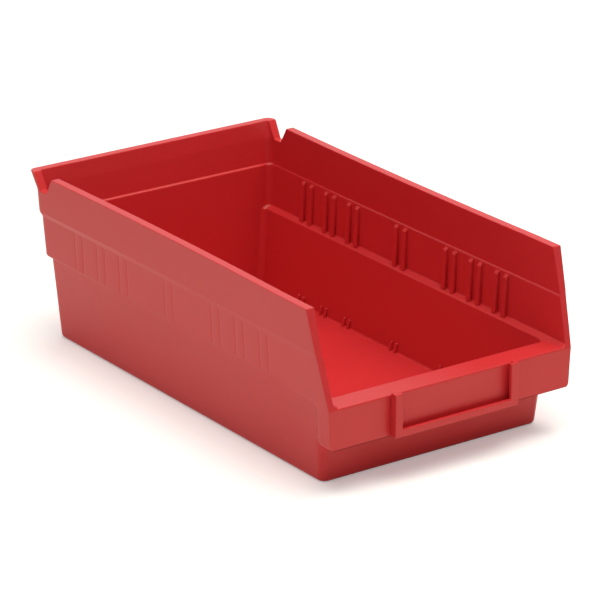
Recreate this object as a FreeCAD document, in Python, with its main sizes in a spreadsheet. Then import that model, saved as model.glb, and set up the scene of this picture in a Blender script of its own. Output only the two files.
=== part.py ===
import FreeCAD, Part
import math
import os
import Sketcher

# A moulded plastic shelf bin with a low hopper front, split into its moulded sections.
# Millimetres and degrees. +X right, -Y front, +Y back, +Z up, origin under the middle of the box.

doc = FreeCAD.newDocument("ShelfBin")

driving_sizes = [
    ("length", 295.3, "front of the label holder to the tip of the rear lip"),
    ("rim_width", 168.3, "outside width across the side rims"),
    ("rim_height", 101.6, "floor surface to the top of the rims"),
    ("wall", 3.1, "wall thickness of the sides, front and back"),
    ("rim_wall", 4.2, "thickness of the side rims at the top"),
    ("floor_wall", 3.0, "floor thickness"),
    ("side_draft", 3.0, "outward lean of the top and middle bands"),
    ("inner_draft", 0.5, "lean of the inside face of the top band"),
    ("lower_draft", 4.9, "outward lean of the lower side walls"),
    ("back_draft", 2.1, "outward lean of the back wall"),
    ("front_draft", 5.0, "outward lean of the low front wall"),
    ("corner_radius", 7.0, "outside radius of the two back corners"),
    ("front_radius", 5.0, "outside radius of the two lower front corners"),
    ("foot_radius", 2.4, "rounding of the bottom edge"),
    ("step_height", 76.4, "bottom of the small upper step, outside"),
    ("step_rise", 1.6, "height of the sloping face of the upper step"),
    ("step_inset", 1.42, "how far the upper step goes in"),
    ("step_drop", 1.3, "inside upper ledge, below the outside step"),
    ("ledge_height", 49.0, "top of the front ledge and foot of the side ledges"),
    ("ledge_rise", 1.9, "slope of the side ledges, inside"),
    ("shoulder_rise", 2.9, "height of the sloping shoulder under the middle band, outside"),
    ("shoulder_inset", 3.45, "how far the lower walls stand in from the middle band"),
    ("hopper_setback", 20.2, "front of the label holder to the front end of the rims"),
    ("front_setback", 17.3, "label panel face to the bottom edge of the front wall"),
    ("panel_bottom", 25.7, "height of the lower edge of the label panel"),
    ("panel_wall", 3.0, "thickness of the label panel, cheeks and front ledge"),
    ("cheek_depth", 9.8, "straight side of a cheek, front to back"),
    ("cheek_blend", 6.4, "how far a cheek turns in to meet the side wall"),
    ("cheek_run", 8.6, "length of that turn, front to back"),
    ("lip_height", 91.8, "where the rear lip starts to flare, and the bottom of the notches"),
    ("lip_flare", 4.2, "how far the rear lip stands out behind the back wall"),
    ("lip_wall", 4.9, "thickness of the rear lip at its top"),
    ("lip_corner", 4.6, "outside corner radius of the lip at its top"),
    ("lip_inner_corner", 1.0, "inside corner radius of the lip at its top"),
    ("notch_floor", 8.1, "flat bottom of a rear notch"),
    ("notch_lean", 4.9, "slope of the notch's front side"),
    ("notch_stub", 0.6, "straight wall between a notch and the corner"),
    ("slot_middle", 9.0, "place of the middle divider slot along the bin"),
    ("slot_pitch", 23.0, "spacing of the divider slots"),
    ("rib_pitch", 8.1, "spacing of the two ribs of one slot"),
    ("rib_thickness", 3.2, "thickness of a divider rib"),
    ("rib_depth", 2.0, "how far a divider rib stands out"),
    ("rib_bevel", 1.9, "sloping top of a divider rib"),
    ("gusset_height", 8.0, "height of a floor rib"),
    ("gusset_depth", 2.6, "foot of a floor rib"),
    ("gusset_thickness", 2.4, "thickness of a floor rib"),
    ("label_width", 81.6, "outside width of the label holder"),
    ("label_proud", 4.75, "how far the label holder stands out from the panel"),
    ("label_rail", 4.8, "width of the holder's side rails"),
    ("label_sill", 4.1, "height of the holder's bottom rail"),
    ("label_rise", 1.2, "rails above the top of the panel"),
    ("label_slot", 2.4, "gap behind the rails for the card"),
    ("label_web", 1.8, "thickness of the rails beside the card gap"),
]

sheet = doc.addObject("Spreadsheet::Sheet", "Sizes")
for row, (alias, value, note) in enumerate(driving_sizes, start=1):
    sheet.set(f"A{row}", alias)
    sheet.set(f"B{row}", str(value))
    sheet.set(f"C{row}", note)
    sheet.setAlias(f"B{row}", alias)
doc.recompute()

# Heights that more than one section uses
floor_top = "Sizes.floor_wall"
rim = "Sizes.rim_height"
ledge = "Sizes.ledge_height"
lip_root = "Sizes.lip_height"
ledge_top = "(Sizes.ledge_height + Sizes.ledge_rise)"
shoulder_top = "(Sizes.ledge_height + Sizes.shoulder_rise)"
step_low = "Sizes.step_height"
step_high = "(Sizes.step_height + Sizes.step_rise)"
inner_step_low = "(Sizes.step_height - Sizes.step_drop)"
inner_step_high = f"({inner_step_low} + Sizes.step_rise)"
ledge_underside = "(Sizes.ledge_height - Sizes.panel_wall)"


def top_half(z):
    """Outside half-width of the top band at height z."""
    return f"(Sizes.rim_width / 2 - (Sizes.rim_height - {z}) * tan(Sizes.side_draft * 1deg))"


def middle_half(z):
    """Outside half-width of the middle band, which the cheeks and label panel carry on."""
    return f"({top_half(z)} - Sizes.step_inset)"


def lower_half(z):
    """Outside half-width of the lower side walls."""
    foot = f"(Sizes.ledge_height - {z}) * tan(Sizes.lower_draft * 1deg)"
    return f"({middle_half(ledge)} - Sizes.shoulder_inset - {foot})"


def rim_inner_half(z):
    """Inside half-width of the top band."""
    return f"(Sizes.rim_width / 2 - Sizes.rim_wall - (Sizes.rim_height - {z}) * tan(Sizes.inner_draft * 1deg))"


def inside(half):
    """A half-width moved in by one wall."""
    return f"({half} - Sizes.wall)"


def top_back(z):
    """Outside of the back wall above the upper step."""
    return f"(Sizes.length / 2 - Sizes.lip_flare - (Sizes.lip_height - {z}) * tan(Sizes.back_draft * 1deg))"


def lower_back(z):
    """Outside of the back wall below the upper step."""
    return f"({top_back(z)} - Sizes.step_inset)"


panel_face = "(Sizes.label_proud - Sizes.length / 2)"
clear_of_front = "(-Sizes.length / 2 - Sizes.hopper_setback)"
clear_of_rim_front = "(-Sizes.length / 2 - Sizes.hopper_setback / 2)"


def front(z):
    """Outside of the low front wall."""
    return f"({panel_face} + Sizes.front_setback - {z} * tan(Sizes.front_draft * 1deg))"


def inner_front(z):
    """Inside of the low front wall."""
    return f"({front(z)} + Sizes.wall)"


inner_corner = "(Sizes.corner_radius - Sizes.wall)"
inner_front_corner = "(Sizes.front_radius - Sizes.wall)"
lip_root_end = f"({top_back(lip_root)} - Sizes.corner_radius - Sizes.notch_stub)"
lip_top_end = "(Sizes.length / 2 - Sizes.lip_wall - Sizes.lip_inner_corner - Sizes.notch_stub)"


def new_body(label):
    body = doc.addObject("PartDesign::Body", label)
    body.Label = label
    return body


def new_sketch(body, name, role, offset):
    """An empty sketch on one of the body's own planes, moved along the plane's normal."""
    sketch = body.newObject("Sketcher::SketchObject", name)
    plane = next(item for item in body.Origin.OriginFeatures if item.Role == role)
    sketch.AttachmentSupport = [(plane, "")]
    sketch.MapMode = "FlatFace"
    sketch.setExpression("AttachmentOffset.Base.z", offset)
    return sketch


def fix_point(sketch, geometry, end, x, y):
    """Ties one end of a piece of geometry to a place given by two expressions."""
    drawn = sketch.getPoint(geometry, end)
    for kind, start, expression in (("DistanceX", drawn.x, x), ("DistanceY", drawn.y, y)):
        index = sketch.addConstraint(Sketcher.Constraint(kind, -1, 1, geometry, end, start))
        sketch.setExpression(f"Constraints[{index}]", expression)


def polygon(body, name, role, points, offset="0"):
    """A closed sketch of straight edges through points given as pairs of expressions."""
    sketch = new_sketch(body, name, role, offset)
    rough_size = 50.0
    turn = 2 * math.pi / len(points)
    rough = [FreeCAD.Vector(math.cos(turn * i), math.sin(turn * i), 0) * rough_size for i in range(len(points))]
    for start, end in zip(rough, rough[1:] + rough[:1]):
        sketch.addGeometry(Part.LineSegment(start, end))
    for i in range(len(points)):
        sketch.addConstraint(Sketcher.Constraint("Coincident", i, 2, (i + 1) % len(points), 1))
    for i, (x, y) in enumerate(points):
        fix_point(sketch, i, 1, x, y)
    return sketch


def rough_arc(x, y, radius, start_degrees):
    circle = Part.Circle(FreeCAD.Vector(x, y, 0), FreeCAD.Vector(0, 0, 1), radius)
    return Part.ArcOfCircle(circle, math.radians(start_degrees), math.radians(start_degrees + 90))


def rough_line(x0, y0, x1, y1):
    return Part.LineSegment(FreeCAD.Vector(x0, y0, 0), FreeCAD.Vector(x1, y1, 0))


def set_radius(sketch, geometry, expression):
    index = sketch.addConstraint(Sketcher.Constraint("Radius", geometry, sketch.Geometry[geometry].Radius))
    sketch.setExpression(f"Constraints[{index}]", expression)


def set_distance(sketch, kind, geometry, expression):
    """Ties the start of a line to a distance from the origin along X or Y."""
    drawn = sketch.getPoint(geometry, 1)
    start = drawn.x if kind == "DistanceX" else drawn.y
    index = sketch.addConstraint(Sketcher.Constraint(kind, -1, 1, geometry, 1, start))
    sketch.setExpression(f"Constraints[{index}]", expression)


def round_outline(body, name, z, half, front_y, back_y, front_corner, back_corner):
    """A rectangle with rounded corners at height z, symmetric about the bin's length."""
    sketch = new_sketch(body, name, "XY_Plane", z)
    wide, long, bend = sheet.rim_width / 2, sheet.length / 2, sheet.corner_radius
    sketch.addGeometry([
        rough_line(bend - wide, -long, wide - bend, -long),
        rough_arc(wide - bend, bend - long, bend, 270),
        rough_line(wide, bend - long, wide, long - bend),
        rough_arc(wide - bend, long - bend, bend, 0),
        rough_line(wide - bend, long, bend - wide, long),
        rough_arc(bend - wide, long - bend, bend, 90),
        rough_line(-wide, long - bend, -wide, bend - long),
        rough_arc(bend - wide, bend - long, bend, 180),
    ])
    for i in range(8):
        sketch.addConstraint(Sketcher.Constraint("Tangent", i, 2, (i + 1) % 8, 1))
    for line, direction in ((0, "Horizontal"), (2, "Vertical"), (4, "Horizontal"), (6, "Vertical")):
        sketch.addConstraint(Sketcher.Constraint(direction, line))
    sketch.addConstraint(Sketcher.Constraint("Equal", 1, 7))
    sketch.addConstraint(Sketcher.Constraint("Equal", 3, 5))
    set_radius(sketch, 1, front_corner)
    set_radius(sketch, 3, back_corner)
    set_distance(sketch, "DistanceX", 2, half)
    set_distance(sketch, "DistanceX", 6, f"-{half}")
    set_distance(sketch, "DistanceY", 0, front_y)
    set_distance(sketch, "DistanceY", 4, back_y)
    return sketch


def loft(body, name, sketches, kind="PartDesign::AdditiveLoft"):
    """Straight-sided walls from outline to outline."""
    feature = body.newObject(kind, name)
    feature.Profile = sketches[0]
    feature.Sections = sketches[1:]
    feature.Ruled = True
    doc.recompute()
    return feature


def pad(body, name, sketch, length, both_ways=False):
    feature = body.newObject("PartDesign::Pad", name)
    feature.Profile = sketch
    feature.setExpression("Length", length)
    if both_ways:
        feature.SideType = "Symmetric"
    doc.recompute()
    return feature


def boolean(kind, name, base, tool):
    feature = doc.addObject(kind, name)
    feature.Base = base
    feature.Tool = tool
    feature.Refine = True
    return feature


def cell(name, x, y, z):
    """A box between pairs of expressions, used to divide the moulding."""
    box = doc.addObject("Part::Box", name)
    for size_name, axis, (low, high) in (("Length", "x", x), ("Width", "y", y), ("Height", "z", z)):
        box.setExpression(f"Placement.Base.{axis}", low)
        box.setExpression(size_name, f"{high} - {low}")
    return box


nodes = []


def section(label, moulding, region):
    """One named section: the part of the moulding that lies in a region."""
    feature = boolean("Part::Common", label, moulding, region)
    feature.Label = label
    nodes.append(feature)


# Outside form of the bin: lower walls, then the shoulder, middle band, step and top band
outer_form = new_body("outer_form")
foot_angles = (0, 30, 60, 90)
foot_outlines = []
for angle in foot_angles:
    z = f"(Sizes.foot_radius * (1 - cos({angle} * 1deg)))"
    inset = f"(Sizes.foot_radius * (1 - sin({angle} * 1deg)))"
    foot_outlines.append(round_outline(
        outer_form, f"outer_foot_{angle}", z, f"({lower_half(z)} - {inset})", f"({front(z)} + {inset})",
        f"({lower_back(z)} - {inset})", f"(Sizes.front_radius - {inset})", f"(Sizes.corner_radius - {inset})"))
outer_ledge = round_outline(outer_form, "outer_ledge", ledge, lower_half(ledge), front(ledge), lower_back(ledge),
                            "Sizes.front_radius", "Sizes.corner_radius")
loft(outer_form, "outer_lower", foot_outlines + [outer_ledge])
outer_bands = (
    ("shoulder_low", ledge, lower_half(ledge), lower_back(ledge)),
    ("shoulder_high", shoulder_top, middle_half(shoulder_top), lower_back(shoulder_top)),
    ("step_low", step_low, middle_half(step_low), lower_back(step_low)),
    ("step_high", step_high, top_half(step_high), top_back(step_high)),
    ("rim", rim, top_half(rim), top_back(rim)),
)
loft(outer_form, "outer_upper", [
    round_outline(outer_form, f"outer_{name}", z, half, clear_of_rim_front, back_y,
                  "Sizes.front_radius", "Sizes.corner_radius")
    for name, z, half, back_y in outer_bands
])

# Inside form: the space that the bin holds, open at the front above the ledge
inner_form = new_body("inner_form")
loft(inner_form, "inner_lower", [
    round_outline(inner_form, f"inner_{name}", z, inside(lower_half(z)), inner_front(z), inside(lower_back(z)),
                  inner_front_corner, inner_corner)
    for name, z in (("floor", floor_top), ("ledge", ledge))
])
inner_bands = (
    ("ledge_low", ledge, inside(lower_half(ledge)), inside(lower_back(ledge))),
    ("ledge_high", ledge_top, inside(middle_half(ledge_top)), inside(lower_back(ledge_top))),
    ("step_low", inner_step_low, inside(middle_half(inner_step_low)), inside(lower_back(inner_step_low))),
    ("step_high", inner_step_high, rim_inner_half(inner_step_high), inside(top_back(inner_step_high))),
    ("rim", rim, rim_inner_half(rim), inside(top_back(rim))),
)
loft(inner_form, "inner_upper", [
    round_outline(inner_form, f"inner_{name}", z, half, clear_of_front, back_y,
                  inner_front_corner, inner_corner)
    for name, z, half, back_y in inner_bands
])

# Sloping hopper front: everything ahead of the line from the rim ends to the top of the label panel
hopper_cut = new_body("hopper_cut")
hopper_top = "(Sizes.hopper_setback - Sizes.length / 2)"
hopper_outline = polygon(hopper_cut, "hopper_outline", "YZ_Plane", [
    (hopper_top, rim), (panel_face, ledge), (clear_of_front, ledge), (clear_of_front, rim),
])
pad(hopper_cut, "hopper_pad", hopper_outline, "Sizes.rim_width * 2", both_ways=True)

# Rear notches, and the space above the back wall that the lip fills
notch_cut = new_body("notch_cut")
notch_front = f"({lip_root_end} - Sizes.notch_floor)"
notch_outline = polygon(notch_cut, "notch_outline", "YZ_Plane", [
    (notch_front, lip_root), ("Sizes.length", lip_root), ("Sizes.length", rim),
    (f"({notch_front} - Sizes.notch_lean)", rim),
])
pad(notch_cut, "notch_pad", notch_outline, "Sizes.rim_width * 2", both_ways=True)

hollow_tub = boolean("Part::Cut", "hollow_tub", outer_form, inner_form)
hopper_tub = boolean("Part::Cut", "hopper_tub", hollow_tub, hopper_cut)
tub = boolean("Part::Cut", "tub", hopper_tub, notch_cut)

# Regions that divide the tub along its corners, floor and front ledge
left_edge = "-Sizes.rim_width"
right_edge = "Sizes.rim_width"
far_front = "-Sizes.length"
far_back = "Sizes.length"
front_split = f"({front('0')} + Sizes.front_radius)"
back_split = f"({lower_back('0')} - Sizes.corner_radius)"
full_width = (left_edge, right_edge)
floor_region = cell("floor_region", full_width, (far_front, far_back), ("0", floor_top))
front_region = cell("front_region", full_width, (far_front, front_split), (floor_top, ledge))
back_region = cell("back_region", full_width, (back_split, far_back), (floor_top, lip_root))
section("floor_pan", tub, floor_region)
section("front_wall", tub, front_region)
section("back_wall", tub, back_region)
for side, reach in (("left", (left_edge, "0")), ("right", ("0", right_edge))):
    strip = cell(f"{side}_strip", reach, (far_front, back_split), (floor_top, rim))
    section(f"{side}_side_wall", tub, boolean("Part::Cut", f"{side}_region", strip, front_region))

# Rear hang lip: flares back from the top of the back wall and ends at the notches
rear_hang_lip = new_body("rear_hang_lip")
loft(rear_hang_lip, "lip_outside", [
    round_outline(rear_hang_lip, "lip_root", lip_root, top_half(lip_root), "0", top_back(lip_root),
                  "Sizes.front_radius", "Sizes.corner_radius"),
    round_outline(rear_hang_lip, "lip_top", rim, top_half(rim), "0", "(Sizes.length / 2)",
                  "Sizes.front_radius", "Sizes.lip_corner"),
])
lip_shell = loft(rear_hang_lip, "lip_inside", [
    round_outline(rear_hang_lip, "lip_inner_root", lip_root, rim_inner_half(lip_root), "-Sizes.rim_width",
                  inside(top_back(lip_root)), inner_front_corner, inner_corner),
    round_outline(rear_hang_lip, "lip_inner_top", rim, rim_inner_half(rim), "-Sizes.rim_width",
                  "(Sizes.length / 2 - Sizes.lip_wall)", inner_front_corner, "Sizes.lip_inner_corner"),
], "PartDesign::SubtractiveLoft")
lip_ends = rear_hang_lip.newObject("PartDesign::Pocket", "lip_ends")
lip_ends.Profile = polygon(rear_hang_lip, "lip_end_outline", "YZ_Plane", [
    (lip_root_end, lip_root), (lip_top_end, rim), ("-Sizes.rim_width", rim), ("-Sizes.rim_width", lip_root),
])
lip_ends.SideType = "Symmetric"
lip_ends.setExpression("Length", "Sizes.rim_width * 2")
doc.recompute()
if lip_ends.Shape.Volume >= lip_shell.Shape.Volume:
    raise RuntimeError("the lip's ends were not cut")
nodes.append(rear_hang_lip)


def panel_outline(body, name, z, inset):
    """Plan of the front flange at height z, or of the hollow inside it."""
    half = f"({middle_half(z)} - {inset})"
    face = f"({panel_face} + {inset})"
    bend = f"({panel_face} + Sizes.cheek_depth)"
    back_end = f"({bend} + Sizes.cheek_run)"
    back_half = f"({half} - Sizes.cheek_blend)"
    return polygon(body, name, "XY_Plane", [
        (f"-{half}", face), (half, face), (half, bend), (back_half, back_end),
        (f"-{back_half}", back_end), (f"-{half}", bend),
    ], z)


# Front flange: ledge, hanging label panel and cheeks, hollow and open below
flange_form = new_body("flange_form")
loft(flange_form, "flange_block", [
    panel_outline(flange_form, "flange_low", "Sizes.panel_bottom", "0"),
    panel_outline(flange_form, "flange_high", shoulder_top, "0"),
])
loft(flange_form, "flange_hollow", [
    panel_outline(flange_form, "hollow_low", "Sizes.panel_bottom", "Sizes.panel_wall"),
    panel_outline(flange_form, "hollow_high", ledge_underside, "Sizes.panel_wall"),
], "PartDesign::SubtractiveLoft")
flange_shell = boolean("Part::Cut", "flange_shell", flange_form, outer_form)
flange = boolean("Part::Cut", "flange", flange_shell, hopper_cut)

panel_back = f"({panel_face} + Sizes.panel_wall)"
below_ledge = ("0", ledge_underside)
section("front_ledge", flange, cell("ledge_region", full_width, (far_front, "0"), (ledge_underside, rim)))
section("label_panel", flange, cell("panel_region", full_width, (far_front, panel_back), below_ledge))
section("left_cheek", flange, cell("left_cheek_region", (left_edge, "0"), (panel_back, "0"), below_ledge))
section("right_cheek", flange, cell("right_cheek_region", ("0", right_edge), (panel_back, "0"), below_ledge))

# Label holder: a U of rails with a gap behind them for a card, open at the top
label_holder = new_body("label_holder")
holder_half = "(Sizes.label_width / 2)"
window_half = f"({holder_half} - Sizes.label_rail)"
holder_bottom = "Sizes.panel_bottom"
holder_top = "(Sizes.ledge_height + Sizes.label_rise)"
window_bottom = f"({holder_bottom} + Sizes.label_sill)"
holder_plane = f"-{panel_face}"
holder_pad = pad(label_holder, "holder_rails", polygon(label_holder, "holder_outline", "XZ_Plane", [
    (f"-{holder_half}", holder_bottom), (holder_half, holder_bottom), (holder_half, holder_top),
    (window_half, holder_top), (window_half, window_bottom), (f"-{window_half}", window_bottom),
    (f"-{window_half}", holder_top), (f"-{holder_half}", holder_top),
], holder_plane), "Sizes.label_proud")
slot_half = f"({holder_half} - Sizes.label_web)"
slot_bottom = f"({holder_bottom} + Sizes.label_web)"
card_gap = label_holder.newObject("PartDesign::Pocket", "card_gap")
card_gap.Profile = polygon(label_holder, "card_outline", "XZ_Plane", [
    (f"-{slot_half}", slot_bottom), (slot_half, slot_bottom),
    (slot_half, f"({holder_top} + Sizes.label_web)"), (f"-{slot_half}", f"({holder_top} + Sizes.label_web)"),
], holder_plane)
card_gap.Reversed = True
card_gap.setExpression("Length", "Sizes.label_slot")
doc.recompute()
if card_gap.Shape.Volume >= holder_pad.Shape.Volume:
    raise RuntimeError("the card gap cuts nothing")
nodes.append(label_holder)


def along_bin(body, name, count, step):
    """A row of copies along the bin's length."""
    row = body.newObject("PartDesign::LinearPattern", name)
    y_axis = next(item for item in body.Origin.OriginFeatures if item.Role == "Y_Axis")
    row.Direction = (y_axis, [""])
    row.Mode = "Spacing"
    row.Occurrences = count
    row.setExpression("Offset", step)
    return row


def ribs_in_pairs(label, profile, thickness):
    """Pairs of ribs along one side: three, one in the middle, then three."""
    body = new_body(label)
    first_rib = f"(-Sizes.slot_middle + Sizes.rib_pitch / 2 - {thickness} / 2)"
    end_rib = pad(body, "end_rib", polygon(body, "end_profile", "XZ_Plane", profile,
                                           f"{first_rib} + 4 * Sizes.slot_pitch"), thickness)
    groups = body.newObject("PartDesign::MultiTransform", "end_groups")
    groups.Originals = [end_rib]
    groups.Transformations = [
        along_bin(body, "pair", 2, "Sizes.rib_pitch"),
        along_bin(body, "three_slots", 3, "Sizes.slot_pitch"),
        along_bin(body, "both_ends", 2, "6 * Sizes.slot_pitch"),
    ]
    body.Tip = groups
    doc.recompute()
    middle_rib = pad(body, "middle_rib", polygon(body, "middle_profile", "XZ_Plane", profile, first_rib), thickness)
    middle_pair = along_bin(body, "middle_pair", 2, "Sizes.rib_pitch")
    middle_pair.Originals = [middle_rib]
    body.Tip = middle_pair
    doc.recompute()
    nodes.append(body)


# Divider ribs on the middle band, from the sloping side ledge up to the upper ledge,
# and small floor ribs in line with them
wall_low = inside(middle_half(ledge_top))
wall_high = inside(middle_half(inner_step_low))
ledge_slope = f"(Sizes.ledge_rise / ({wall_low} - {inside(lower_half(ledge))}))"
rib_foot = f"({ledge_top} - Sizes.rib_depth * {ledge_slope})"
gusset_top = "(Sizes.floor_wall + Sizes.gusset_height)"
floor_corner = inside(lower_half(floor_top))
for side, sign in (("left", "-"), ("right", "")):
    ribs_in_pairs(f"{side}_divider_ribs", [
        (f"{sign}{wall_low}", ledge_top),
        (f"{sign}{wall_high}", inner_step_low),
        (f"{sign}({wall_high} - Sizes.rib_depth)", f"({inner_step_low} - Sizes.rib_bevel)"),
        (f"{sign}({wall_low} - Sizes.rib_depth)", rib_foot),
    ], "Sizes.rib_thickness")
    ribs_in_pairs(f"{side}_floor_ribs", [
        (f"{sign}{floor_corner}", floor_top),
        (f"{sign}{inside(lower_half(gusset_top))}", gusset_top),
        (f"{sign}({floor_corner} - Sizes.gusset_depth)", floor_top),
    ], "Sizes.gusset_thickness")

# Every object has to be sound before any section is written
doc.recompute()
for item in doc.Objects:
    if "Invalid" in item.State or "Error" in item.State:
        raise RuntimeError(f"{item.Label} did not build: {item.State}")
for node in nodes:
    if node.Shape.isNull() or not node.Shape.isValid():
        raise RuntimeError(f"{node.Label} has no sound shape")

os.makedirs("parts", exist_ok=True)
for node in nodes:
    node.Shape.exportStep(f"parts/{node.Label}.step")
    print(f"{node.Label}: {len(node.Shape.Solids)} solids, {node.Shape.Volume:.0f} mm3")
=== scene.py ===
import bpy
import bmesh
import math
from collections import namedtuple
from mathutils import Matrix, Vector


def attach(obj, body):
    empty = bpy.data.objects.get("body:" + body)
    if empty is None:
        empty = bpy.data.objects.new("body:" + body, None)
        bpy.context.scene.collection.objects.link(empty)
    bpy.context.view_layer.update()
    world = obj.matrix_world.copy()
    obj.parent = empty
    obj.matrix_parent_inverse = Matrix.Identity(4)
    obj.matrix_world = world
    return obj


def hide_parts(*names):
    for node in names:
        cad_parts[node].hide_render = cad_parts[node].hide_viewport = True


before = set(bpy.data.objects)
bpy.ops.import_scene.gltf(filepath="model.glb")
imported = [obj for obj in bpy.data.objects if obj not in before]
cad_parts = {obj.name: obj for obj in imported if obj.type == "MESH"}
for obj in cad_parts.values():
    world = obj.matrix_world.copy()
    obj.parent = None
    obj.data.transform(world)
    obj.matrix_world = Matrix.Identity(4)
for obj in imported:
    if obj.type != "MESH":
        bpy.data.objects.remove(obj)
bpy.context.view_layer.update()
mm = 0.001


# ways of working that every piece uses, with their limits in millimetres and degrees

meshCare = {
    "seamGap": 0.002, "doubleGap": 0.06, "thinGap": 0.01,
    "lineGap": 0.05, "bottomGap": 0.01,
    "sharpAngle": 25,
    "flatWeight": 80,
}


def beginEdit(piece):
    bpy.ops.object.select_all(action="DESELECT")
    piece.select_set(True)
    bpy.context.view_layer.objects.active = piece
    bpy.ops.object.mode_set(mode="EDIT")


def endEdit():
    bpy.ops.object.mode_set(mode="OBJECT")


def pickEdges(test):
    # selects the edges of the mesh in hand that pass a test
    bpy.ops.mesh.select_mode(type="EDGE")
    bpy.ops.mesh.select_all(action="DESELECT")
    data = bpy.context.edit_object.data
    mesh = bmesh.from_edit_mesh(data)
    mesh.normal_update()
    for edge in mesh.edges:
        if test(edge):
            edge.select_set(True)
    mesh.select_flush_mode()
    bmesh.update_edit_mesh(data)


def middle(edge):
    return (edge.verts[0].co + edge.verts[1].co) / (2 * mm)


def isSharp(edge):
    return len(edge.link_faces) == 2 and edge.calc_face_angle(0) > math.radians(meshCare["sharpAngle"])


def isUnder(height):
    # a test for edges that lie at a height or below it
    limit = (height + meshCare["bottomGap"]) * mm
    return lambda edge: max(corner.co.z for corner in edge.verts) < limit


def onLine(edge, heights):
    # whether an edge lies level at one of some heights
    return any(max(abs(corner.co.z / mm - height) for corner in edge.verts) < meshCare["lineGap"]
               for height in heights)


def roundOff(radius, steps):
    bpy.ops.mesh.bevel(offset=radius * mm, offset_type="OFFSET", segments=steps, profile=0.5,
                       affect="EDGES", clamp_overlap=True)


def addBlock(name, low, high):
    # a box between two corners in millimetres
    bpy.ops.object.select_all(action="DESELECT")
    bpy.ops.mesh.primitive_cube_add(size=1)
    block = bpy.context.object
    block.name = name
    bpy.ops.object.mode_set(mode="EDIT")
    bpy.ops.mesh.select_all(action="SELECT")
    size = [(b - a) * mm for a, b in zip(low, high)]
    centre = [(a + b) / 2 * mm for a, b in zip(low, high)]
    bpy.ops.transform.resize(value=size, center_override=(0, 0, 0))
    bpy.ops.transform.translate(value=centre)
    endEdit()
    return block


def addProfile(name, axis, points, start, end):
    # a flat outline pulled straight: points are (y, z) for axis 0 and (x, z) for axis 1
    bpy.ops.object.select_all(action="DESELECT")
    bpy.ops.mesh.primitive_circle_add(vertices=len(points), radius=0.01, fill_type="NGON")
    piece = bpy.context.object
    piece.name = name
    bpy.ops.object.mode_set(mode="EDIT")
    mesh = bmesh.from_edit_mesh(piece.data)
    for corner, (u, v) in zip(mesh.verts, points):
        corner.co = Vector((start, u, v) if axis == 0 else (u, start, v)) * mm
    bmesh.update_edit_mesh(piece.data)
    bpy.ops.mesh.select_all(action="SELECT")
    pull = [0, 0, 0]
    pull[axis] = (end - start) * mm
    bpy.ops.mesh.extrude_region_move(TRANSFORM_OT_translate={"value": pull})
    bpy.ops.mesh.select_all(action="SELECT")
    bpy.ops.mesh.normals_make_consistent(inside=False)
    endEdit()
    return piece


def addSkin(name, outlines):
    # a grid wrapped round a stack of outlines, closed at the seam and at both ends, left in edit mode
    count = len(outlines[0])
    bpy.ops.object.select_all(action="DESELECT")
    bpy.ops.mesh.primitive_grid_add(x_subdivisions=count, y_subdivisions=len(outlines) - 1, size=1)
    skin = bpy.context.object
    skin.name = name
    bpy.ops.object.mode_set(mode="EDIT")
    mesh = bmesh.from_edit_mesh(skin.data)
    for index, corner in enumerate(mesh.verts):
        row, column = divmod(index, count + 1)
        corner.co = Vector(outlines[row][column % count]) * mm
    bmesh.update_edit_mesh(skin.data)
    bpy.ops.mesh.select_all(action="SELECT")
    bpy.ops.mesh.remove_doubles(threshold=meshCare["seamGap"] * mm)
    halfway = (outlines[0][0][2] + outlines[-1][0][2]) / 2
    for side in (-1, 1):
        pickEdges(lambda edge: edge.is_boundary and side * (middle(edge).z - halfway) > 0)
        bpy.ops.mesh.edge_face_add()
    bpy.ops.mesh.select_all(action="SELECT")
    bpy.ops.mesh.normals_make_consistent(inside=False)
    return skin


def cutAway(piece, tool):
    # cuts one piece with another, which is used up
    bpy.ops.object.select_all(action="DESELECT")
    bpy.context.view_layer.objects.active = piece
    cut = piece.modifiers.new("cut", "BOOLEAN")
    cut.operation = "DIFFERENCE"
    cut.solver = "EXACT"
    cut.object = tool
    bpy.ops.object.modifier_apply(modifier=cut.name)
    bpy.data.meshes.remove(tool.data)


def tidyFaces(piece):
    # merges what the cuts left doubled, and turns every face outwards
    beginEdit(piece)
    bpy.ops.mesh.select_all(action="SELECT")
    bpy.ops.mesh.remove_doubles(threshold=meshCare["doubleGap"] * mm)
    bpy.ops.mesh.dissolve_degenerate(threshold=meshCare["thinGap"] * mm)
    bpy.ops.mesh.select_all(action="SELECT")
    bpy.ops.mesh.normals_make_consistent(inside=False)
    endEdit()


def softenEdges(piece, width, steps, test=isSharp):
    # rounds the chosen edges a little, then keeps the flats flat in the shading
    beginEdit(piece)
    pickEdges(test)
    bpy.ops.mesh.bevel(offset=width * mm, offset_type="OFFSET", segments=steps, profile=0.5,
                       affect="EDGES", clamp_overlap=False, miter_outer="ARC")
    endEdit()
    bpy.ops.object.shade_smooth()
    flats = piece.modifiers.new("flat shading", "WEIGHTED_NORMAL")
    flats.weight = meshCare["flatWeight"]
    flats.keep_sharp = True
    bpy.ops.object.modifier_apply(modifier=flats.name)


# the moulded bin: floor, walls, rear lip and front flange in one skin, in millimetres

Level = namedtuple("Level", "height half front back backRadius")  # one outline of a stack

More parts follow.
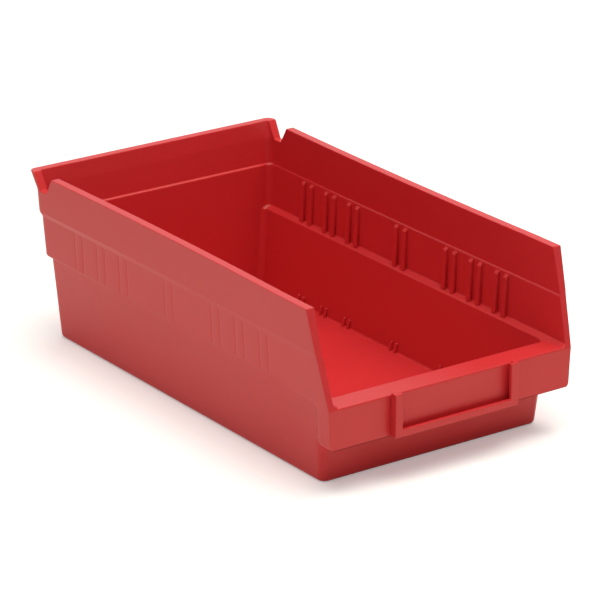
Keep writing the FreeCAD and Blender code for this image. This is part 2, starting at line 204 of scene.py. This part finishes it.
binSkin = {
    # outside, from the foot to the rim
    "foot": Level(0, 72.322, -125.6, 138.664, 7.0),
    "shoulderLow": Level(49.6, 76.55, -129.887, 140.485, 7.0),
    "shoulderHigh": Level(51.9, 80.45, -129.887, 140.567, 7.0),
    "stepLow": Level(75.8, 81.95, -129.887, 141.465, 7.0),
    "above": [Level(78.4, 82.934, -129.887, 142.944, 7.0),
              Level(91.8, 83.636, -129.887, 143.45, 7.0),
              Level(101.6, 84.15, -129.887, 147.65, 4.6)],
    "footRadius": 2.4, "footSteps": 5,
    "shoulderRound": 0.75, "shoulderSteps": 4,
    "frontRadius": 5.0, "cornerSteps": 10,
    # the band between shoulder and step widens to the front, where the step all but ends
    "bandFlare": 0.6, "flareStart": 100.0, "flareEnd": -125.0,
    # the side walls lean in a little at mid length, from one height to the rim
    "bow": 1.7, "bowMiddle": 15.0, "bowReach": 120.0, "bowLow": 50.0, "bowHigh": 101.6,
    "bowPlaces": range(-100, 121, 20),
    # inside, from the floor up and on past the rim
    "inside": [Level(2.0, 68.9, -122.762, 135.674, 3.9),
               Level(49.0, 73.423, -126.787, 137.361, 3.9),
               Level(50.9, 76.973, -126.787, 137.43, 3.9),
               Level(75.6, 78.267, -126.787, 138.336, 3.9),
               Level(76.4, 78.87, -126.787, 139.5, 3.9),
               Level(91.8, 78.88, -126.787, 140.85, 3.9),
               Level(101.6, 78.89, -126.787, 142.3, 1.0),
               Level(112.0, 78.9, -126.787, 144.0, 1.0)],
    "floorFillet": 1.0, "floorSteps": 4,
    "innerFrontRadius": 1.9,
    # the ledge is at these inside heights and rises a little to the front,
    # and the space above it runs on past the hopper
    "ledgeHeights": (49.0, 50.9), "ledgeReach": 41.2, "ledgeDip": 0.7,
    # cuts across the bin, as (y, z)
    "hopper": [(-122.116, 120), (-145.306, 40), (-180, 40), (-180, 120)],
    "notch": [(129.0, 91.55), (135.2, 91.55), (141.15, 101.6), (146.7, 111), (117.1, 111), (122.85, 101.6)],
    "cutHalf": 120,
    # lines that fade on their way round: the step's, and those of the back from one place on
    "stepLines": (75.8, 78.4), "backLines": (49.0, 49.6, 50.9, 91.8), "backFrom": 100.0,
    "edgeWidth": 0.42, "edgeSteps": 3,
}
flangePlan = {
    "face": -142.9, "bend": -133.1,
    "low": 25.7, "cornerRadius": 2.4, "cornerSteps": 4,
    # half width at height 0 and its growth with height
    "half": 77.95, "draft": 0.052408,
    # the shoulder fades into the cheek between these heights
    "fadeLow": 45.0, "fadeHigh": 60.0,
    # the share of its rise that is left where the cheek ends, and at a place on the way to the first rib
    "fadeHold": 0.35, "fadePlace": -106.0, "fadeShare": 0.75,
    # hollow behind the panel, open below: height, half width, face, narrow half width, back
    "hollow": [(18, 75.2, -139.9, 70.6, -127.6), (46, 76.6, -139.9, 72.4, -130.1)],
    "hollowBend": -133.6,
    # where its edges stay sharp, out of sight
    "hollowZone": ((-77.5, 77.5), (-141.5, -125.0), (24.0, 46.5)),
}
sinkMarks = {
    # soft stripes outside each divider rib, where the thick plastic shrank
    "low": 54.6, "high": 73.9, "width": 2.8, "bottom": 0.5, "depth": 0.26,
    # height of the lower end's outline where it reaches the front
    "lowFront": 62.0,
}
ribRows = {
    "middle": 6.7, "slotPitch": 23.0,
    "slots": (-4, -3, -2, 0, 2, 3, 4),
    "dividerPitch": 8.1, "dividerThickness": 3.2,
    "dividerOutline": [(76.973, 50.9), (78.241, 75.1), (76.241, 73.2), (74.973, 49.83)],
    # the gussets are a closer pair, a little in front of each slot
    "gussetPitch": 4.8, "gussetShift": -4.9, "gussetThickness": 1.7,
    "gussetOutline": [(68.9, 2.0), (69.45, 7.7), (68.5, 7.2), (67.2, 2.0)],
    "edgeWidth": 0.4, "edgeSteps": 3,
}


def ribPairs(pitch, shift=0):
    # the place of both ribs at every slot
    return [ribRows["middle"] + slot * ribRows["slotPitch"] + shift + half * pitch
            for slot in ribRows["slots"] for half in (-0.5, 0.5)]


ribPlaces = ribPairs(ribRows["dividerPitch"])
gussetPlaces = ribPairs(ribRows["gussetPitch"], ribRows["gussetShift"])


def blendLevel(low, high, height):
    # the outline at a height on the straight run between two others
    share = (height - low.height) / (high.height - low.height)
    return Level(*(a + share * (b - a) for a, b in zip(low, high)))


def roundTurn(low, turn, high, reach, steps):
    # outlines along a curve that rounds the turn between two straight runs
    ends = []
    for other in (low, high):
        run = math.dist((turn.height, turn.half), (other.height, other.half))
        ends.append(blendLevel(turn, other, turn.height + reach * (other.height - turn.height) / run))
    shares = [step / steps for step in range(steps + 1)]
    return [Level(*((1 - u) ** 2 * a + 2 * u * (1 - u) * b + u * u * c
                    for a, b, c in zip(ends[0], turn, ends[1]))) for u in shares]


def flare(y):
    # how much wider the band is, at a place along the bin
    share = (y - binSkin["flareStart"]) / (binSkin["flareEnd"] - binSkin["flareStart"])
    return binSkin["bandFlare"] * min(max(share, 0), 1)


def bow(y, z):
    # how far a side wall leans in, at a place along the bin and a height
    share = 1 - ((y - binSkin["bowMiddle"]) / binSkin["bowReach"]) ** 2
    rise = (z - binSkin["bowLow"]) / (binSkin["bowHigh"] - binSkin["bowLow"])
    return binSkin["bow"] * max(share, 0) * max(rise, 0)


def bend(centreX, centreY, radius, startAngle):
    # a quarter turn, in even steps
    steps = binSkin["cornerSteps"]
    angles = [math.radians(startAngle + 90 * step / steps) for step in range(steps + 1)]
    return [(centreX + radius * math.cos(a), centreY + radius * math.sin(a)) for a in angles]


def frontCorner(level):
    radius = binSkin["frontRadius"]
    turn = bend(level.half - radius, level.front + radius, radius, -90)
    return [(x, y, level.height) for x, y in turn + [(level.half, flangePlan["fadePlace"])]]


def backCorner(level):
    radius = level.backRadius
    turn = bend(level.half - radius, level.back - radius, radius, 0)
    return [(x, y, level.height) for x, y in turn]


def cheekRun(level, frontZ):
    # place, height and ease of each point from the panel's face back to the wall
    face, turnIn = flangePlan["face"], flangePlan["bend"]
    wallY = level.front + binSkin["frontRadius"]
    rise = level.height - frontZ
    straight = binSkin["cornerSteps"] // 2
    for step in range(binSkin["cornerSteps"] + 1):
        run = max(step - straight, 0) / straight
        ease = (1 - math.cos(math.pi * run)) / 2
        if step <= straight:
            y = face + (turnIn - face) * step / straight
        else:
            y = turnIn + (wallY - turnIn) * run
        yield y, frontZ + rise * ease * flangePlan["fadeHold"], ease
    yield flangePlan["fadePlace"], frontZ + rise * flangePlan["fadeShare"], 1


def cheek(level, frontZ, inset=0, proud=0, flared=0):
    # the flange's side: straight from the panel's face, then an easy turn in to the wall
    wall = level.half + flared * flare(flangePlan["bend"])
    points = []
    for y, height, ease in cheekRun(level, frontZ):
        outer = flangePlan["half"] + flangePlan["draft"] * height + proud - inset
        points.append((outer + (wall - outer) * ease, y, height))
    return points


def bandFront(level, frontZ, flared=0):
    # above the shoulder the side runs straight on over the cheek
    return [(level.half + flared * flare(y) + flangePlan["draft"] * (height - level.height), y, height)
            for y, height, _ in cheekRun(level, frontZ)]


def closedOutline(rightSide):
    return rightSide + [(-x, y, z) for x, y, z in reversed(rightSide)]


def outsideOutline(level, frontPart, sink=0, flared=0):
    # four points at each rib make room for its sink mark
    edge, bottom = sinkMarks["width"] / 2, sinkMarks["bottom"] / 2
    side = []
    for place in ribPlaces:
        for offset, depth in ((-edge, 0), (-bottom, sink), (bottom, sink), (edge, 0)):
            y = place + offset
            side.append((level.half + flared * flare(y) - bow(y, level.height) - depth, y, level.height))
    return closedOutline(frontPart + side + backCorner(level))


def insideOutline(level):
    radius = binSkin["innerFrontRadius"]
    ahead = binSkin["ledgeReach"] if level.height >= max(binSkin["ledgeHeights"]) else 0
    dip = binSkin["ledgeDip"] if level.height in binSkin["ledgeHeights"] else 0
    turn = bend(level.half - radius, level.front + radius, radius, -90)
    front = [(x, y - ahead, level.height - dip) for x, y in turn]
    front.append((level.half, level.front + binSkin["frontRadius"], level.height))
    side = [(level.half - bow(y, level.height), y, level.height) for y in binSkin["bowPlaces"]]
    return closedOutline(front + side + backCorner(level))


def outsideStack():
    foot, shoulderLow, stepLow = binSkin["foot"], binSkin["shoulderLow"], binSkin["stepLow"]
    low, radius, steps = flangePlan["low"], flangePlan["cornerRadius"], flangePlan["cornerSteps"]
    below = (foot, blendLevel(foot, shoulderLow, low))
    outlines = [outsideOutline(level, frontCorner(level)) for level in below]
    # the flange, from its rounded lower edge to the shoulder
    for step in range(steps + 1):
        turn = math.radians(90 * step / steps)
        level = blendLevel(foot, shoulderLow, low + radius * (1 - math.cos(turn)))
        front = cheek(level, level.height, inset=radius * (1 - math.sin(turn)))
        outlines.append(outsideOutline(level, front))
    outlines.append(outsideOutline(shoulderLow, cheek(shoulderLow, flangePlan["fadeLow"])))
    # the rounded shoulder, which climbs over the cheek and fades into it
    shoulder = roundTurn(shoulderLow, binSkin["shoulderHigh"], stepLow,
                         binSkin["shoulderRound"], binSkin["shoulderSteps"])
    bandStart = shoulder[-1]
    proud = (bandStart.half + binSkin["bandFlare"]
             - flangePlan["draft"] * bandStart.height - flangePlan["half"])
    for step, level in enumerate(shoulder, 1):
        share = step / len(shoulder)
        frontZ = flangePlan["fadeLow"] + (flangePlan["fadeHigh"] - flangePlan["fadeLow"]) * share
        front = cheek(level, frontZ, proud=proud * share, flared=1)
        outlines.append(outsideOutline(level, front, flared=1))
    # the band with the sink marks, the step, and the rest up to the rim
    for height, frontZ in ((sinkMarks["low"], sinkMarks["lowFront"]), (sinkMarks["high"], sinkMarks["high"])):
        level = blendLevel(bandStart, stepLow, height)
        outlines.append(outsideOutline(level, bandFront(level, frontZ, 1), sinkMarks["depth"], 1))
    outlines.append(outsideOutline(stepLow, bandFront(stepLow, stepLow.height, 1), flared=1))
    for level in binSkin["above"]:
        outlines.append(outsideOutline(level, bandFront(level, level.height)))
    return outlines


binShell = addSkin("moulded_bin", outsideStack())
pickEdges(isUnder(binSkin["foot"].height))
roundOff(binSkin["footRadius"], binSkin["footSteps"])
endEdit()

space = addSkin("space", [insideOutline(level) for level in binSkin["inside"]])
pickEdges(isUnder(binSkin["inside"][0].height))
roundOff(binSkin["floorFillet"], binSkin["floorSteps"])
endEdit()
hollow = addSkin("hollow", [
    closedOutline([(half, face, z), (half, flangePlan["hollowBend"], z), (narrow, back, z)])
    for z, half, face, narrow, back in flangePlan["hollow"]])
endEdit()
hopper = addProfile("hopper", 0, binSkin["hopper"], -binSkin["cutHalf"], binSkin["cutHalf"])
notch = addProfile("notch", 0, binSkin["notch"], -binSkin["cutHalf"], binSkin["cutHalf"])
print("stage: bin blocks made")

for tool in (hollow, hopper, space, notch):
    cutAway(binShell, tool)
tidyFaces(binShell)


def onBinEdge(edge):
    # every edge that shows, and the whole of each line that fades out on its way round
    place = middle(edge)
    if all(low < part < high for part, (low, high) in zip(place, flangePlan["hollowZone"])):
        return False
    onBack = place.y > binSkin["backFrom"] and onLine(edge, binSkin["backLines"])
    return isSharp(edge) or onBack or onLine(edge, binSkin["stepLines"])


softenEdges(binShell, binSkin["edgeWidth"], binSkin["edgeSteps"], onBinEdge)
print("stage: bin skin joined,", len(binShell.data.polygons), "faces")


# label holder on the front panel

labelFrame = {
    "low": (-40.8, -147.65, 25.7), "high": (40.8, -142.9, 50.2),
    "rail": 4.8, "sill": 4.1,
    "cardGap": 2.4, "cardWall": 1.8,
    "cutPast": 5.0,
    "edgeWidth": 0.5, "edgeSteps": 3,
}

low, high = Vector(labelFrame["low"]), Vector(labelFrame["high"])
past = labelFrame["cutPast"]
labelHolder = addBlock("label_rails", low, high)
# the window through the holder, then the card's gap behind its rails: side, sill and front
for name, side, sill, front in (
        ("window", labelFrame["rail"], labelFrame["sill"], low.y - past),
        ("cardGap", labelFrame["cardWall"], labelFrame["cardWall"], high.y - labelFrame["cardGap"])):
    tool = addBlock(name, (low.x + side, front, low.z + sill), (high.x - side, high.y + past, high.z + past))
    cutAway(labelHolder, tool)
tidyFaces(labelHolder)
softenEdges(labelHolder, labelFrame["edgeWidth"], labelFrame["edgeSteps"])
print("stage: label holder made")


# ribs: divider pairs on the side walls and small gussets on the floor

def addRibs(name, outline, thickness, places, side):
    # one rib is modelled, then copied to both places of every slot, where it follows the wall in
    points = [(side * x, z) for x, z in outline]
    height = sum(z for _, z in outline) / len(outline)
    first = addProfile(name, 1, points, -thickness / 2, thickness / 2)
    softenEdges(first, ribRows["edgeWidth"], ribRows["edgeSteps"])
    copies = []
    for place in places:
        copy = first.copy()
        copy.data = first.data.copy()
        bpy.context.scene.collection.objects.link(copy)
        beginEdit(copy)
        bpy.ops.mesh.select_all(action="SELECT")
        bpy.ops.transform.translate(value=(-side * bow(place, height) * mm, place * mm, 0))
        endEdit()
        copies.append(copy)
    bpy.data.meshes.remove(first.data)
    bpy.ops.object.select_all(action="DESELECT")
    for copy in copies:
        copy.select_set(True)
    bpy.context.view_layer.objects.active = copies[0]
    bpy.ops.object.join()
    joined = bpy.context.object
    joined.name = name
    return joined


ribs = {}
for word, side in (("left", -1), ("right", 1)):
    ribs[f"{word}_divider_ribs"] = addRibs(f"{word}_divider_rails", ribRows["dividerOutline"],
                                           ribRows["dividerThickness"], ribPlaces, side)
    ribs[f"{word}_floor_ribs"] = addRibs(f"{word}_floor_gussets", ribRows["gussetOutline"],
                                         ribRows["gussetThickness"], gussetPlaces, side)
print("stage: ribs made")


# red moulded plastic

class Wire:
    # a socket that takes part in sums, each sum adding its own Math node
    def __init__(self, sheet, socket):
        self.sheet = sheet
        self.socket = socket

    def join(self, operation, first, second):
        return self.sheet.node("ShaderNodeMath", {"operation": operation}, {0: first, 1: second})

    def __add__(self, other):
        return self.join("ADD", self, other)

    def __radd__(self, other):
        return self.join("ADD", other, self)

    def __sub__(self, other):
        return self.join("SUBTRACT", self, other)

    def __rsub__(self, other):
        return self.join("SUBTRACT", other, self)

    def __mul__(self, other):
        return self.join("MULTIPLY", self, other)

    def __rmul__(self, other):
        return self.join("MULTIPLY", other, self)


class NodeSheet:
    # the node tree of one finish, or of the room
    def __init__(self, tree):
        self.tree = tree

    def node(self, kind, settings=None, inputs=None, output=0):
        made = self.tree.nodes.new(kind)
        for key, value in (settings or {}).items():
            setattr(made, key, value)
        for key, value in (inputs or {}).items():
            self.feed(made.inputs[key], value)
        return Wire(self, made.outputs[output])

    def feed(self, socket, value):
        if isinstance(value, Wire):
            self.tree.links.new(value.socket, socket)
        else:
            socket.default_value = value

    def rays(self, *kinds):
        # 1 for the named kinds of ray, 0 for all others
        paths = [self.node("ShaderNodeLightPath", output=f"Is {kind} Ray") for kind in kinds]
        return sum(paths[1:], paths[0])

    def ramp(self, value, start, end):
        # 0 to 1 as a value goes from start to end
        return self.node("ShaderNodeMapRange", None, {"Value": value, "From Min": start, "From Max": end})


def newFinish(name):
    finish = bpy.data.materials.new(name)
    finish.use_nodes = True
    return finish, NodeSheet(finish.node_tree), finish.node_tree.nodes["Principled BSDF"].inputs


redPlastic = {
    "deep": (0.600, 0.0250, 0.0300, 1), "bright": (0.660, 0.0290, 0.0340, 1),
    "cloudSize": 18, "cloudDetail": 3, "cloudRoughness": 0.55,
    "roughness": 0.36, "roughnessSpread": 0.10,
    "gloss": 0.42, "glossTint": (1, 0.93, 0.78, 1),
    "grainSize": 1100, "grainDetail": 2, "grainStrength": 0.18, "grainHeight": 0.00003,
}


def makeRedPlastic():
    finish, sheet, shader = newFinish("red_moulded_plastic")
    place = sheet.node("ShaderNodeTexCoord", output="Object")
    cloud = sheet.node("ShaderNodeTexNoise", None,
                       {"Vector": place, "Scale": redPlastic["cloudSize"],
                        "Detail": redPlastic["cloudDetail"], "Roughness": redPlastic["cloudRoughness"]})
    fine = sheet.node("ShaderNodeTexNoise", None,
                      {"Vector": place, "Scale": redPlastic["grainSize"], "Detail": redPlastic["grainDetail"]})
    # a Mix node's colours are its inputs 6 and 7, and its mixed colour is output 2
    colour = sheet.node("ShaderNodeMix", {"data_type": "RGBA"},
                        {"Factor": cloud, 6: redPlastic["deep"], 7: redPlastic["bright"]}, 2)
    sheet.feed(shader["Base Color"], colour)
    sheet.feed(shader["Roughness"], redPlastic["roughness"] + (cloud - 0.5) * redPlastic["roughnessSpread"])
    sheet.feed(shader["Specular IOR Level"], redPlastic["gloss"])
    sheet.feed(shader["Specular Tint"], redPlastic["glossTint"])
    grain = sheet.node("ShaderNodeBump", None, {"Strength": redPlastic["grainStrength"],
                                                "Distance": redPlastic["grainHeight"], "Height": fine})
    sheet.feed(shader["Normal"], grain)
    return finish


plastic = makeRedPlastic()
pieces = {binShell: ("floor_pan", "front_wall", "back_wall", "left_side_wall", "right_side_wall",
                     "rear_hang_lip", "front_ledge", "label_panel", "left_cheek", "right_cheek"),
          labelHolder: ("label_holder",)}
for node, piece in ribs.items():
    pieces[piece] = (node,)
for piece, nodes in pieces.items():
    piece.data.materials.clear()
    piece.data.materials.append(plastic)
    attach(piece, "root")
    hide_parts(*nodes)
print("stage: pieces dressed and placed")


# floor, light and camera, in metres and watts

studio = {
    "white": (1, 1, 1, 1),
    "floorSize": 6.0, "floorColour": (0.91, 0.91, 0.89, 1), "floorRoughness": 0.9,
    # what the floor adds for the camera, and for gloss and glass
    "floorGlow": 0.30, "floorGloss": 0.10,
    "roomLight": 0.29, "glossRoom": 0.08,
    # the sweep ends at this height and this far forward, as parts of a direction
    "sweepTop": (0.60, 0.42), "sweepFront": (-0.3, 0.1),
    "eyeAzimuth": -35.213, "eyeElevation": 20.784, "eyeDistance": 2.0713,
    "aim": (0, 0, 0.05), "aimRight": 0.00163, "aimUp": -0.00100,
    "lens": 222.81, "sensor": 36, "clipEnd": 50,
    "lampColour": (1, 0.98, 0.91),
    # name, place, aim, width, height, power
    "lamps": [("topSoftbox", (0.10, -0.14, 1.45), (0, 0, 0.0), 1.3, 1.3, 23.5),
              ("leftSoftbox", (-1.7, 0.1, 1.1), (0, 0, 0.05), 1.0, 1.0, 2.2)],
}

bpy.ops.object.select_all(action="DESELECT")
bpy.ops.mesh.primitive_plane_add(size=studio["floorSize"])
floor = bpy.context.object
floor.name = "studio_floor"
floorFinish, floorSheet, floorShader = newFinish("pale_floor")
floorSheet.feed(floorShader["Base Color"], studio["floorColour"])
floorSheet.feed(floorShader["Roughness"], studio["floorRoughness"])
floorSheet.feed(floorShader["Specular IOR Level"], 0)
floorSheet.feed(floorShader["Emission Color"], studio["white"])
floorSheet.feed(floorShader["Emission Strength"], floorSheet.rays("Camera") * studio["floorGlow"]
                + floorSheet.rays("Glossy", "Transmission") * studio["floorGloss"])
floor.data.materials.append(floorFinish)

room = bpy.data.worlds.new("pale_room")
bpy.context.scene.world = room
room.use_nodes = True
roomSheet = NodeSheet(room.node_tree)
roomShader = room.node_tree.nodes["Background"].inputs
roomSheet.feed(roomShader["Color"], studio["white"])
# gloss sees the pale sweep behind the bin, and the dimmer room above it and in front
compass = roomSheet.node("ShaderNodeTexCoord", output="Generated")
heading = {axis: roomSheet.node("ShaderNodeSeparateXYZ", None, {"Vector": compass}, axis) for axis in "YZ"}
sweep = roomSheet.ramp(heading["Z"], *studio["sweepTop"]) * roomSheet.ramp(heading["Y"], *studio["sweepFront"])
white = roomSheet.rays("Camera", "Transmission") + roomSheet.rays("Glossy") * sweep
gloss = roomSheet.rays("Glossy") * (1 - sweep) * (studio["glossRoom"] - studio["roomLight"])
roomSheet.feed(roomShader["Strength"], studio["roomLight"] + white * (1 - studio["roomLight"]) + gloss)

for name, place, aim, width, height, power in studio["lamps"]:
    bpy.ops.object.light_add(type="AREA", location=place)
    lamp = bpy.context.object
    lamp.name = name
    lamp.data.shape = "RECTANGLE"
    lamp.data.size = width
    lamp.data.size_y = height
    lamp.data.energy = power
    lamp.data.color = studio["lampColour"]
    lamp.rotation_euler = (Vector(aim) - Vector(place)).to_track_quat("-Z", "Y").to_euler()

azimuth = math.radians(studio["eyeAzimuth"])
elevation = math.radians(studio["eyeElevation"])
back = Vector((math.sin(azimuth) * math.cos(elevation),
               -math.cos(azimuth) * math.cos(elevation),
               math.sin(elevation)))
right = Vector((math.cos(azimuth), math.sin(azimuth), 0))
up = back.cross(right)
aimPoint = Vector(studio["aim"]) + right * studio["aimRight"] + up * studio["aimUp"]
bpy.ops.object.camera_add(location=aimPoint + back * studio["eyeDistance"])
camera = bpy.context.object
camera.rotation_euler = back.to_track_quat("Z", "Y").to_euler()
camera.data.sensor_width = studio["sensor"]
camera.data.lens = studio["lens"]
camera.data.clip_end = studio["clipEnd"]
bpy.context.scene.camera = camera
bpy.context.scene.view_settings.view_transform = "Standard"
print("stage: studio set")
